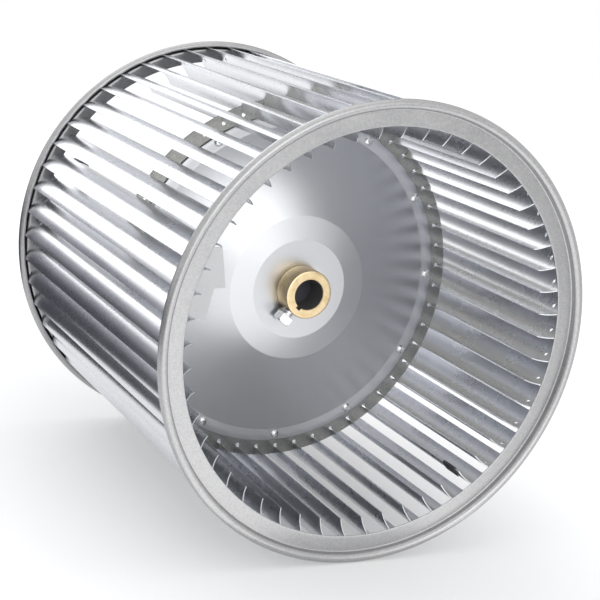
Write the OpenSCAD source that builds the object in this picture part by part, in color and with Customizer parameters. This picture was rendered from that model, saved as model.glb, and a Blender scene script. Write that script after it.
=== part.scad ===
// Double-inlet blower wheel with forward-curved blades.
// Origin: middle of the rear ring's foot. +Z runs along the shaft, towards the front inlet.

/* [Wheel] */
// Outside diameter over the rolled edges
wheel_d = 270; // [262:1:290]
// Overall width over both rolled edges
wheel_w = 263.5; // [200:0.5:320]
// Angle of the first blade's outer edge, seen from the front
first_blade_at = 5; // [0:0.5:7]

/* [End rings] */
// Width of the front ring, from the inlet's edge to the outer edge
front_ring_w = 15.4; // [13:0.1:19]
// Width of the rear ring, whose inlet is wider
rear_ring_w = 13.6; // [12:0.1:19]
// Thickness of the end ring's sheet
ring_t = 0.8; // [0.6:0.05:0.85]
// Diameter of the rolled edge's section
curl_d = 5.6; // [5.5:0.1:6.2]
// Inside radius of the bend between flat face and rolled edge
ring_bend_r = 0.7; // [0.4:0.1:1.5]
// Slack that the rolled edge's slit leaves a blade's tab
curl_slack = 0.8; // [0.8:0.05:1]

/* [Blades] */
// Number of blades
blades = 51; // [40:1:51]
// Thickness of the blade strip
blade_t = 0.7; // [0.5:0.05:0.8]
// Distance of the blades' inner edges from the wheel's outside
blade_span = 23; // [20:0.5:27]
// Angle by which the inner edge lies behind the outer edge
blade_lag = 6.3; // [5:0.1:8]
// Rise of the blade's arc over its chord
blade_rise = 5; // [4:0.1:6]
// Length of the corner cut along the blade's inner edge
corner_l = 6.6; // [4:0.1:20]
// Distance that the corner cut runs on under the front ring
corner_under = 0.4; // [0:0.1:2]
// Height of the end tab that the rolled edge grips
tab_h = 2.4; // [1:0.1:3]
// Length of the pierced slot near each blade end
pierce_l = 2.7; // [1.8:0.1:5]
// Width of the pierced slot
pierce_w = 1.4; // [0.8:0.1:1.8]
// Distance of the pierced slot from the end ring
pierce_in = 9.6; // [5:0.1:20]
// Distance of the pierced slot from the wheel's outside
pierce_inset = 10.7; // [8:0.1:14]
// Lean of the pierced slot against the blade's length
pierce_lean = 35; // [0:1:90]

/* [Centre ring] */
// Depth of a blade slot, from the centre ring's outer edge to the blade's inner edge
slot_depth = 4.9; // [3:0.1:8]
// Distance of the centre ring's inner edge from the hub disc's flat lap
centre_spare = 1.5; // [0.5:0.1:5]
// Thickness of the centre ring
centre_t = 1.2; // [0.8:0.1:2]
// Clearance between a blade and the sides of its slot
slot_gap = 0.15; // [0.05:0.05:0.3]
// Diameter of the round end of a blade slot
slot_eye_d = 3; // [2:0.1:4]
// Distance of the round end's middle from the blade's inner edge
slot_eye_in = 0.75; // [0.5:0.05:1.5]

/* [Hub disc] */
// Distance of the disc's edge from the blades' inner edges
disc_inset = 5.8; // [4:0.1:12]
// Thickness of the hub disc
disc_t = 1.2; // [0.8:0.1:2]
// Width of the flat lap that lies on the centre ring
lap_w = 7.2; // [6.5:0.1:12]
// Height of the cone
cone_h = 17.4; // [5:0.1:30]
// Diameter at which the cone meets the shallow shoulder
shoulder_d = 91.8; // [80:0.2:120]
// Height of the shallow shoulder
shoulder_h = 2.3; // [0.5:0.1:5]
// Diameter of the flat boss in the middle
boss_d = 62.8; // [50:0.2:75]
// Radius of the bend at the boss's edge
boss_bend_r = 3.6; // [1:0.1:8]
// Radius of the bend between shoulder and cone
shoulder_bend_r = 6; // [1:0.1:12]
// Radius of the bend between cone and lap
lap_bend_r = 2.4; // [1:0.1:4]

/* [Hub] */
// Outside diameter of the hub
hub_d = 30.5; // [28:0.1:36]
// Length of the hub in front of the boss
hub_l = 14; // [12:0.5:30]
// Shaft bore
bore_d = 19.05; // [15:0.01:20]
// Width of the keyway
key_w = 3.2; // [2:0.1:5]
// Depth of the keyway
key_depth = 1.6; // [1:0.1:2]
// Angle of the keyway and of the set screw
key_at = 233; // [0:1:359]
// Diameter of the neck that passes through the disc
neck_d = 26; // [24:0.1:27]
// Height of the staked rim behind the disc
rim_h = 2; // [1:0.1:4]
// Width of the staked rim beyond the neck
rim_w = 1.2; // [0.5:0.1:3]
// Edge chamfer of the hub's front face
hub_edge = 0.5; // [0.2:0.1:1]

/* [Set screw] */
// Thread diameter
screw_d = 7.9; // [6:0.1:8]
// Width of the square head across flats
screw_head_w = 7.9; // [6:0.1:9]
// Height of the square head
screw_head_h = 5.6; // [3:0.1:8]
// Diameter of the round top that the head's chamfer leaves
screw_top_d = 9.5; // [8:0.1:11]
// Slope of the head's chamfer
screw_chamfer = 30; // [20:1:45]
// Shank showing between hub and head
screw_show = 2.6; // [0.5:0.1:4]
// Length of the screw's tapered point
screw_tip_l = 1.3; // [0.5:0.1:2]
// Distance of the screw's point from the keyway's floor
screw_end_gap = 0.3; // [0.1:0.1:1]

/* [Rivets] */
// Number of rivets
rivet_count = 12; // [6:1:16]
// Distance of the rivets from the disc's edge
rivet_inset = 3.1; // [3.1:0.1:3.6]
// Shank diameter
rivet_d = 3.2; // [2:0.1:3.4]
// Diameter of the domed head
rivet_head_d = 6; // [5:0.1:6.2]
// Height of the domed head
rivet_head_h = 1.3; // [0.6:0.1:2]
// Diameter of the hole through the rivet's head
rivet_eye_d = 1.7; // [1:0.1:1.8]
// Diameter of the formed tail
rivet_tail_d = 4.5; // [4:0.1:5]
// Height of the formed tail
rivet_tail_h = 1.6; // [1:0.1:2]
// Angle of the first rivet
rivet_at = 3.1; // [0:0.1:10]

/* [Balance clips] */
// Length of a clip along the blade
clip_l = 12; // [5:0.5:20]
// Depth of a clip over the blade's inner edge
clip_reach = 6; // [3:0.5:8]
// Thickness of the clip's spring strip
clip_t = 0.6; // [0.4:0.1:1]
// Blade that carries the front clip
front_clip_blade = 45; // [1:1:51]
// Distance of the front clip from the front rolled edge's middle
front_clip_in = 14; // [14:0.5:60]
// Blade that carries the rear clip
rear_clip_blade = 23; // [1:1:51]
// Distance of the rear clip from the rear rolled edge's middle
rear_clip_in = 14; // [14:0.5:60]

/* [Fits] */
// Clearance round a part that slides into its seat
fit_gap = 0.1; // [0.05:0.05:0.2]

/* [Hidden] */
blade_names = [for (i = [1:blades]) str("blade_", i < 10 ? "0" : "", i)];
$fn = 96;
cut = 1;

// The end rings: the flat face's back is level with the rolled edge's back, and the slit that
// takes the blades' tabs lies between the bend and the rolled edge's end.
curl_r = curl_d / 2;
curl_mid_r = wheel_d / 2 - curl_r;
front_inlet_r = wheel_d / 2 - front_ring_w;
rear_inlet_r = wheel_d / 2 - rear_ring_w;
slit_in_r = wheel_d / 2 - curl_d + ring_t;
slit_out_r = slit_in_r + blade_t + curl_slack;
curl_past = asin((curl_mid_r - slit_out_r) / curl_r);
ring_back = curl_d;
blade_z0 = ring_back;
blade_z1 = wheel_w - ring_back;
mid_z = wheel_w / 2;

// The blade's arc, in a frame whose origin is the middle of the chord, X outwards along the chord
// and Y towards the hollow side.
blade_out_r = slit_out_r - slot_gap;
out_mid_r = blade_out_r - blade_t / 2;
blade_in_r = wheel_d / 2 - blade_span;
outer_end = [out_mid_r, 0];
inner_end = blade_in_r * [cos(blade_lag), -sin(blade_lag)];
chord_mid = (outer_end + inner_end) / 2;
chord = outer_end - inner_end;
chord_l = norm(chord);
chord_angle = atan2(chord[1], chord[0]);
arc_r = (chord_l * chord_l / 4 + blade_rise * blade_rise) / (2 * blade_rise);
arc_half = asin(chord_l / 2 / arc_r);
arc_mid_y = arc_r - blade_rise;
pitch = 360 / blades;

// The shaft's axis in the blade's frame, seen from the middle of the arc.
axis_from_arc = [
    -(chord_mid[0] * cos(chord_angle) + chord_mid[1] * sin(chord_angle)),
    chord_mid[0] * sin(chord_angle) - chord_mid[1] * cos(chord_angle) - arc_mid_y
];
axis_l = norm(axis_from_arc);
axis_turn = atan2(axis_from_arc[0], -axis_from_arc[1]);

// Angle on an arc about the blade's own centre, from its middle, of the point at a distance r from
// the shaft's axis
function angle_on(arc, r) =
    axis_turn + acos((arc * arc + axis_l * axis_l - r * r) / (2 * arc * axis_l));

// Angle that a length takes up on the blade's arc
function arc_turn(l) = l / arc_r * 180 / PI;

// The centre ring and the hub disc follow the blades' inner edges.
centre_r = blade_in_r + slot_depth;
disc_r = blade_in_r - disc_inset;
lap_in_r = disc_r - lap_w;
centre_in_r = lap_in_r - centre_spare;
rivet_circle_r = disc_r - rivet_inset;

// The hub disc lies on the centre ring's front face.
centre_z0 = mid_z - centre_t / 2;
centre_z1 = mid_z + centre_t / 2;
lap_z = centre_z1 + disc_t;
shoulder_z = lap_z + cone_h;
boss_z = shoulder_z + shoulder_h;
hub_z1 = boss_z + hub_l;
neck_z0 = boss_z - disc_t;
hub_z0 = neck_z0 - rim_h;
screw_z = boss_z + hub_l / 2;
bore_r = bore_d / 2;
screw_hole_d = screw_d + 2 * fit_gap;
rivet_hole_d = rivet_d + fit_gap;
steel = [0.72, 0.73, 0.75];
dark_steel = [0.25, 0.25, 0.27];
brass = [0.85, 0.68, 0.38];

// Normal of the line from a to b, on its left side
function left(a, b) = let(d = (b - a) / norm(b - a)) [-d[1], d[0]];

// Point i of a line, moved by h to the line's left side
function beside(line, i, h) =
    let(
        last = len(line) - 1,
        before = left(line[max(i - 1, 0)], line[max(i, 1)]),
        after = left(line[min(i, last - 1)], line[min(i + 1, last)]),
        sum = before + after
    )
    line[i] + sum * 2 * h / (sum * sum);

// Points that round the corner at b, between a and c, with radius r
function round_corner(a, b, c, r, steps = 4) =
    let(
        u = (a - b) / norm(a - b),
        v = (c - b) / norm(c - b),
        half = acos(u * v) / 2,
        run = r / tan(half),
        mid = b + (u + v) / norm(u + v) * r / sin(half),
        p = b + u * run - mid,
        side = sign(u[0] * v[1] - u[1] * v[0]),
        turn = -side * (180 - 2 * half)
    )
    [for (i = [0:steps]) let(t = turn * i / steps)
        mid + [p[0] * cos(t) - p[1] * sin(t), p[0] * sin(t) + p[1] * cos(t)]];

// Outline of a sheet of thickness t whose front side follows a line
module sheet(line, t) {
    last = len(line) - 1;
    polygon(concat(line, [for (i = [last:-1:0]) beside(line, i, -t)]));
}

// One copy at every blade's place, in the blade's own frame
module at_blade(i) {
    rotate(first_blade_at + (i - 1) * pitch)
        translate(chord_mid)
            rotate(chord_angle)
                children();
}

// Strip bent to the blade's arc, from angle a0 to a1 and between two radii
module arc_strip(a0, a1, r0, r1, z0, z1) {
    translate([0, arc_mid_y, 0])
        rotate(a0 - 90)
            rotate_extrude(angle = a1 - a0)
                translate([r0, z0])
                    square([r1 - r0, z1 - z0]);
}

// Section of an end ring, with the inlet edge at the left and the outer side at the top
module ring_section(inlet_r) {
    bend_mid_r = wheel_d / 2 - curl_d - ring_bend_r;
    bend_mid_z = ring_t + ring_bend_r;
    // Flat face
    translate([inlet_r, 0])
        square([bend_mid_r - inlet_r, ring_t]);
    // Bend up to the rolled edge
    translate([bend_mid_r, bend_mid_z])
        intersection() {
            difference() {
                circle(r = ring_bend_r + ring_t);
                circle(r = ring_bend_r);
            }
            translate([0, -bend_mid_z])
                square(bend_mid_z);
        }
    translate([bend_mid_r + ring_bend_r, bend_mid_z])
        square([ring_t, curl_r - bend_mid_z]);
    // Rolled edge, open at its slit
    translate([curl_mid_r, curl_r])
        difference() {
            circle(r = curl_r);
            circle(r = curl_r - ring_t);
            polygon([
                [0, 0],
                [-curl_d, 0],
                [-curl_d, -curl_d],
                [-curl_d * sin(curl_past), -curl_d * cos(curl_past)]
            ]);
        }
}

// End ring with its flat back at z = 0 and its inlet side up
module end_ring(inlet_r) {
    color(steel)
        rotate_extrude()
            ring_section(inlet_r);
}

module front_ring() {
    translate([0, 0, blade_z1])
        end_ring(front_inlet_r);
}

module rear_ring() {
    translate([0, 0, blade_z0])
        mirror([0, 0, 1])
            end_ring(rear_inlet_r);
}

// Flat outline of a blade strip. The corners are cut from the inner edge to just under the front
// ring, and the tabs are as wide as the rolled edge's slit lets in.
module blade_outline() {
    edge_x = chord_l / 2;
    corner_x = arc_r * sin(angle_on(arc_r, front_inlet_r + corner_under));
    hollow_r = arc_r - blade_t / 2;
    tab_x = hollow_r * sin(angle_on(hollow_r, slit_in_r + fit_gap / 2));
    polygon([
        [-edge_x - cut, blade_z0 + corner_l],
        [-edge_x, blade_z0 + corner_l],
        [corner_x, blade_z0],
        [tab_x, blade_z0],
        [tab_x, blade_z0 - tab_h],
        [edge_x + cut, blade_z0 - tab_h],
        [edge_x + cut, blade_z1 + tab_h],
        [tab_x, blade_z1 + tab_h],
        [tab_x, blade_z1],
        [corner_x, blade_z1],
        [-edge_x, blade_z1 - corner_l],
        [-edge_x - cut, blade_z1 - corner_l]
    ]);
}

// Slot pierced through the strip at height z, leaning to one side
module pierced_slot(z, lean) {
    straight = pierce_l - pierce_w;
    translate([0, arc_mid_y, 0])
        rotate(angle_on(arc_r, wheel_d / 2 - pierce_inset) - 90)
            translate([arc_r, 0, z])
                rotate([0, 90, 0])
                    rotate(lean)
                        linear_extrude(4 * blade_t, center = true) {
                            square([straight, pierce_w], center = true);
                            for (x = [-straight / 2, straight / 2])
                                translate([x, 0])
                                    circle(d = pierce_w);
                        }
}

module blade(i) {
    color(steel)
        at_blade(i)
            difference() {
                intersection() {
                    arc_strip(
                        -arc_half, arc_half, arc_r - blade_t / 2, arc_r + blade_t / 2,
                        blade_z0 - tab_h, blade_z1 + tab_h
                    );
                    rotate([90, 0, 0])
                        linear_extrude(4 * blade_rise, center = true)
                            blade_outline();
                }
                pierced_slot(blade_z0 + pierce_in, -pierce_lean);
                pierced_slot(blade_z1 - pierce_in, pierce_lean);
            }
}

// Slot in the centre ring for one blade, with its round end
module blade_slot(i) {
    half_w = blade_t / 2 + slot_gap;
    eye_turn = -arc_half - arc_turn(slot_eye_in);
    at_blade(i) {
        arc_strip(
            eye_turn, arc_half, arc_r - half_w, arc_r + half_w,
            centre_z0 - cut, centre_z1 + cut
        );
        translate([arc_r * sin(eye_turn), arc_mid_y - arc_r * cos(eye_turn), centre_z0 - cut])
            cylinder(d = slot_eye_d, h = centre_t + 2 * cut);
    }
}

// Puts its children at every rivet's place.
module at_rivets() {
    for (i = [0:rivet_count - 1])
        rotate(rivet_at + i * 360 / rivet_count)
            translate([rivet_circle_r, 0, 0])
                children();
}

module centre_ring() {
    color(steel)
        difference() {
            translate([0, 0, centre_z0])
                cylinder(r = centre_r, h = centre_t);
            translate([0, 0, centre_z0 - cut])
                cylinder(r = centre_in_r, h = centre_t + 2 * cut);
            for (i = [1:blades])
                blade_slot(i);
            at_rivets()
                translate([0, 0, centre_z0 - cut])
                    cylinder(d = rivet_hole_d, h = centre_t + 2 * cut);
        }
}

// Hub disc: flat boss, shallow shoulder, cone and flat lap, pressed from one sheet
module hub_disc() {
    hole = [neck_d / 2 + fit_gap, boss_z];
    boss_edge = [boss_d / 2, boss_z];
    shoulder_edge = [shoulder_d / 2, shoulder_z];
    lap_edge = [lap_in_r, lap_z];
    rim = [disc_r, lap_z];
    front = concat(
        [hole],
        round_corner(hole, boss_edge, shoulder_edge, boss_bend_r),
        round_corner(boss_edge, shoulder_edge, lap_edge, shoulder_bend_r),
        round_corner(shoulder_edge, lap_edge, rim, lap_bend_r),
        [rim]
    );
    color(steel)
        difference() {
            rotate_extrude()
                sheet(front, disc_t);
            at_rivets()
                translate([0, 0, lap_z - disc_t - cut])
                    cylinder(d = rivet_hole_d, h = disc_t + 2 * cut);
        }
}

// Turned hub, keyed and cross-drilled, with a neck through the disc and a staked rim behind it
module hub() {
    rim_d = neck_d + 2 * rim_w;
    color(brass)
        difference() {
            union() {
                translate([0, 0, boss_z])
                    cylinder(d = hub_d, h = hub_l - hub_edge);
                translate([0, 0, hub_z1 - hub_edge])
                    cylinder(d1 = hub_d, d2 = hub_d - 2 * hub_edge, h = hub_edge);
                translate([0, 0, neck_z0])
                    cylinder(d = neck_d, h = disc_t);
                translate([0, 0, hub_z0])
                    cylinder(d1 = neck_d, d2 = rim_d, h = rim_h);
            }
            translate([0, 0, hub_z0 - cut])
                cylinder(d = bore_d, h = hub_z1 - hub_z0 + 2 * cut);
            rotate(key_at)
                translate([0, -key_w / 2, hub_z0 - cut])
                    cube([bore_r + key_depth, key_w, hub_z1 - hub_z0 + 2 * cut]);
            rotate(key_at)
                translate([bore_r / 2, 0, screw_z])
                    rotate([0, 90, 0])
                        cylinder(d = screw_hole_d, h = hub_d / 2);
        }
}

// Square-head set screw, lying along X outwards, with its point clear of the keyway's floor
module set_screw() {
    tip_x = bore_r + key_depth + screw_end_gap;
    head_x = hub_d / 2 + screw_show;
    cone_d = screw_top_d + 2 * screw_head_h / tan(screw_chamfer);
    color(steel)
        rotate(key_at)
            translate([tip_x, 0, screw_z])
                rotate([0, 90, 0]) {
                    cylinder(d1 = screw_d - 2 * screw_tip_l, d2 = screw_d, h = screw_tip_l);
                    translate([0, 0, screw_tip_l])
                        cylinder(d = screw_d, h = head_x - tip_x - screw_tip_l);
                    translate([0, 0, head_x - tip_x])
                        intersection() {
                            translate([-screw_head_w / 2, -screw_head_w / 2, 0])
                                cube([screw_head_w, screw_head_w, screw_head_h]);
                            cylinder(d1 = cone_d, d2 = screw_top_d, h = screw_head_h);
                        }
                }
}

// Blind rivet with its head on z = 0: domed head, shank through a stack of sheets, formed tail
module rivet(stack) {
    head_r = rivet_head_d / 2;
    dome_r = (head_r * head_r + rivet_head_h * rivet_head_h) / (2 * rivet_head_h);
    rotate_extrude()
        difference() {
            union() {
                intersection() {
                    translate([0, rivet_head_h - dome_r])
                        circle(r = dome_r);
                    square([head_r, rivet_head_h]);
                }
                translate([0, -stack])
                    square([rivet_d / 2, stack]);
                translate([0, -stack - rivet_tail_h])
                    square([rivet_tail_d / 2, rivet_tail_h]);
            }
            translate([0, -stack])
                square([rivet_eye_d / 2, stack + rivet_head_h + cut]);
        }
}

module rivets() {
    color(steel)
        at_rivets()
            translate([0, 0, lap_z])
                rivet(disc_t + centre_t);
}

// Spring clip folded over a blade's inner edge, from height z0 up
module balance_clip(i, z0) {
    half_w = blade_t / 2 + fit_gap;
    a0 = -arc_half - arc_turn(fit_gap);
    a1 = -arc_half + arc_turn(clip_reach);
    color(dark_steel)
        at_blade(i)
            difference() {
                arc_strip(
                    a0 - arc_turn(clip_t), a1, arc_r - half_w - clip_t, arc_r + half_w + clip_t,
                    z0, z0 + clip_l
                );
                arc_strip(
                    a0, a1 + arc_turn(cut), arc_r - half_w, arc_r + half_w,
                    z0 - cut, z0 + clip_l + cut
                );
            }
}

module balance_clip_front() {
    balance_clip(front_clip_blade, wheel_w - curl_r - front_clip_in - clip_l);
}

module balance_clip_rear() {
    balance_clip(rear_clip_blade, curl_r + rear_clip_in);
}

front_ring();
rear_ring();
centre_ring();
hub_disc();
hub();
set_screw();
rivets();
balance_clip_front();
balance_clip_rear();
for (i = [1:blades])
    blade(i);
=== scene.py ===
"""Looks of a double-inlet blower wheel with forward-curved blades.

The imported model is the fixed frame: metres, +Z along the shaft towards the front inlet. Sizes in
this script are millimetres, and a mesh is turned into metres when it is made. The photograph
shows the wheel on its side, so the stage, which is in metres, has its floor at -Y.
"""

import logging
import math
from dataclasses import dataclass
from enum import Enum

import bmesh
import bpy
import numpy as np
from mathutils import Matrix, Vector


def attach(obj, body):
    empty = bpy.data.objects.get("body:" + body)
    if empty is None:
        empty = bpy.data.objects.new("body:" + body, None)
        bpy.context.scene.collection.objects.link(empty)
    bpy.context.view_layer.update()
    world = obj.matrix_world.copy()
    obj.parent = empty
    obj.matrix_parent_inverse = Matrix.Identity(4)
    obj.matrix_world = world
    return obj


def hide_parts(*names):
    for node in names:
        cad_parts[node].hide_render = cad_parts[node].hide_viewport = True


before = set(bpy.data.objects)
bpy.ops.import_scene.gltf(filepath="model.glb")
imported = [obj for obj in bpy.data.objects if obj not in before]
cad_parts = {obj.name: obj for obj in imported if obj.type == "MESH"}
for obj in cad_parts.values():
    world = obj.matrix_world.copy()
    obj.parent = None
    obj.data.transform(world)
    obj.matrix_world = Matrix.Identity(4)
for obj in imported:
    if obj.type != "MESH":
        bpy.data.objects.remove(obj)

Object, Material, Socket = bpy.types.Object, bpy.types.Material, bpy.types.NodeSocket
Pair, Triple = tuple[float, float], tuple[float, float, float]

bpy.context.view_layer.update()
LOG = logging.getLogger("blower_wheel")
MM = 0.001
BODY = "root"
WELD = 2e-7  # metres within which two points of a piece are one
WHEEL_MIDDLE = 0.13  # metres along Z, where the lamps point
MAXIMUM = {"operation": "MAXIMUM"}
NOISE = (0.3, 0.7)  # where the values of a noise texture lie
REPEAT = 1e-6  # distance under which two points of a line are one

# Surfaces


@dataclass
class Surface:
    """Points in millimetres and the faces between them.

    Attributes:
        points: array of n points.
        faces: arrays of point numbers, one row per face.
    """

    points: np.ndarray
    faces: list[np.ndarray]


def quads_between(number: np.ndarray) -> np.ndarray:
    """Quads between neighbours in a table of point numbers, as rows by columns by 4."""
    return np.stack([number[:-1, :-1], number[:-1, 1:], number[1:, 1:], number[1:, :-1]], axis=-1)


def grid(points: np.ndarray, wrap_rows: bool = False, wrap_columns: bool = False) -> Surface:
    """Joins a grid of points with quads.

    Args:
        points: rows by columns by 3 coordinates.
        wrap_rows: joins the last row to the first.
        wrap_columns: joins the last column to the first.

    Returns:
        The surface.
    """
    rows, columns = points.shape[:2]
    number = np.arange(rows * columns).reshape(rows, columns)
    if wrap_rows:
        number = np.vstack([number, number[:1]])
    if wrap_columns:
        number = np.hstack([number, number[:, :1]])
    return Surface(points.reshape(-1, 3), [quads_between(number).reshape(-1, 4)])


def fan(loop: np.ndarray) -> Surface:
    """Closes a loop of points with triangles to its middle.

    Args:
        loop: n points in order.

    Returns:
        The surface.
    """
    count = len(loop)
    first = np.arange(count)
    triangles = np.stack([first, np.roll(first, -1), np.full(count, count)], axis=-1)
    return Surface(np.vstack([loop, loop.mean(axis=0)]), [triangles])


def together(surfaces: list[Surface]) -> Surface:
    """Puts several surfaces into one.

    Args:
        surfaces: the surfaces.

    Returns:
        One surface with all their points and faces.
    """
    starts = np.cumsum([0] + [len(s.points) for s in surfaces])
    faces = [f + start for s, start in zip(surfaces, starts) for f in s.faces]
    return Surface(np.vstack([s.points for s in surfaces]), faces)


def capped(loops: np.ndarray) -> Surface:
    """Joins loops of points to a tube and closes both its ends."""
    return together([grid(loops, wrap_columns=True), fan(loops[0]), fan(loops[-1])])


def about_shaft(radius: np.ndarray, turn: np.ndarray, height: np.ndarray | float) -> np.ndarray:
    """Points (r cos t, r sin t, z) about the shaft's axis, the angle t in radians."""
    spread = np.broadcast_arrays(radius * np.cos(turn), radius * np.sin(turn), height)
    return np.stack(spread, axis=-1)


def revolve(profile: np.ndarray, segments: int, closed: bool = True) -> Surface:
    """Carries a profile round the shaft's axis: (r, z) becomes (r cos t, r sin t, z).

    Args:
        profile: n pairs of radius and height.
        segments: steps round the axis.
        closed: whether the profile's last point joins its first.

    Returns:
        The surface.
    """
    turn = np.linspace(0, 2 * np.pi, segments, endpoint=False)[:, None]
    points = about_shaft(profile[None, :, 0], turn, profile[None, :, 1])
    return grid(points, wrap_rows=True, wrap_columns=closed)


def arc(middle: Pair, radius: float, start: float, end: float, steps: int) -> np.ndarray:
    """Points on a circle: middle + radius (cos a, sin a), a running from start to end.

    Args:
        middle: the circle's middle.
        radius: its radius.
        start: first angle in degrees.
        end: last angle in degrees.
        steps: number of points.

    Returns:
        The points.
    """
    angle = np.radians(np.linspace(start, end, steps))
    x, y = middle[0] + radius * np.cos(angle), middle[1] + radius * np.sin(angle)
    return np.stack([x, y], axis=-1)


def without_repeats(line: np.ndarray) -> np.ndarray:
    """Drops each point that lies on the one before it."""
    step = np.linalg.norm(np.diff(line, axis=0), axis=1)
    return line[np.concatenate([[True], step > REPEAT])]


def rounded(line: np.ndarray, radii: tuple[float, ...], steps: int) -> np.ndarray:
    """Rounds the inner corners of a line, each with a circle that touches both its sides.

    Args:
        line: n points.
        radii: n - 2 radii.
        steps: points on each rounded corner.

    Returns:
        The rounded line.
    """
    parts = [line[:1]]
    for before, corner, after, radius in zip(line[:-2], line[1:-1], line[2:], radii):
        to_before = (before - corner) / np.linalg.norm(before - corner)
        to_after = (after - corner) / np.linalg.norm(after - corner)
        half = np.arccos(np.clip(to_before @ to_after, -1, 1)) / 2
        run = radius / np.tan(half)
        share = np.linspace(0, 1, steps)[:, None]
        first, last = corner + to_before * run, corner + to_after * run
        bisector = (to_before + to_after) / np.linalg.norm(to_before + to_after)
        middle = corner + bisector * (radius / np.sin(half))
        spoke = (first - middle) * (1 - share) + (last - middle) * share
        parts.append(middle + spoke / np.linalg.norm(spoke, axis=1)[:, None] * radius)
    parts.append(line[-1:])
    return without_repeats(np.vstack(parts))


def directions(line: np.ndarray) -> tuple[np.ndarray, np.ndarray]:
    """Unit vectors along a plane line and, to the left of them, across it."""
    along = np.gradient(line, axis=0)
    along /= np.linalg.norm(along, axis=1)[:, None]
    return along, np.stack([-along[:, 1], along[:, 0]], axis=-1)


def sheet_profile(line: np.ndarray, thickness: float, end_steps: int) -> np.ndarray:
    """Closed outline of a sheet whose middle follows a line, with a half circle at each end.

    Args:
        line: the middle line's points.
        thickness: the sheet's thickness.
        end_steps: points on each round end.

    Returns:
        The outline's points.
    """
    along, normal = directions(line)
    half = thickness / 2
    turn = np.linspace(0, np.pi, end_steps + 2)[1:-1, None]
    last = line[-1] + half * (np.cos(turn) * normal[-1] + np.sin(turn) * along[-1])
    first = line[0] + half * (-np.cos(turn) * normal[0] - np.sin(turn) * along[0])
    return np.vstack([line + half * normal, last, (line - half * normal)[::-1], first])


def turned(points: np.ndarray, degrees: float) -> np.ndarray:
    """Points turned about the shaft's axis by an angle in degrees."""
    a = math.radians(degrees)
    matrix = np.array([[math.cos(a), -math.sin(a), 0], [math.sin(a), math.cos(a), 0], [0, 0, 1]])
    return points @ matrix.T


def make_piece(name: str, surface: Surface, finish: "Finish", sharp: float = 35.0) -> Object:
    """Turns a surface into an object at the origin that rides with the wheel.

    Doubled points are merged, and then the faces are turned outwards.

    Args:
        name: the object's name.
        surface: the surface in millimetres.
        finish: its finish.
        sharp: angle in degrees from which an edge is sharp.

    Returns:
        The object.
    """
    mesh = bpy.data.meshes.new(name)
    faces = [row for block in surface.faces for row in block.tolist()]
    mesh.from_pydata((surface.points * MM).tolist(), [], faces)
    work = bmesh.new()
    work.from_mesh(mesh)
    bmesh.ops.remove_doubles(work, verts=work.verts, dist=WELD)
    bmesh.ops.recalc_face_normals(work, faces=work.faces)
    work.to_mesh(mesh)
    work.free()
    mesh.shade_smooth()
    mesh.set_sharp_from_angle(angle=math.radians(sharp))
    mesh.materials.append(finish.material)
    piece = bpy.data.objects.new(name, mesh)
    bpy.context.scene.collection.objects.link(piece)
    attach(piece, BODY)
    return piece


# Finishes


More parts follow.
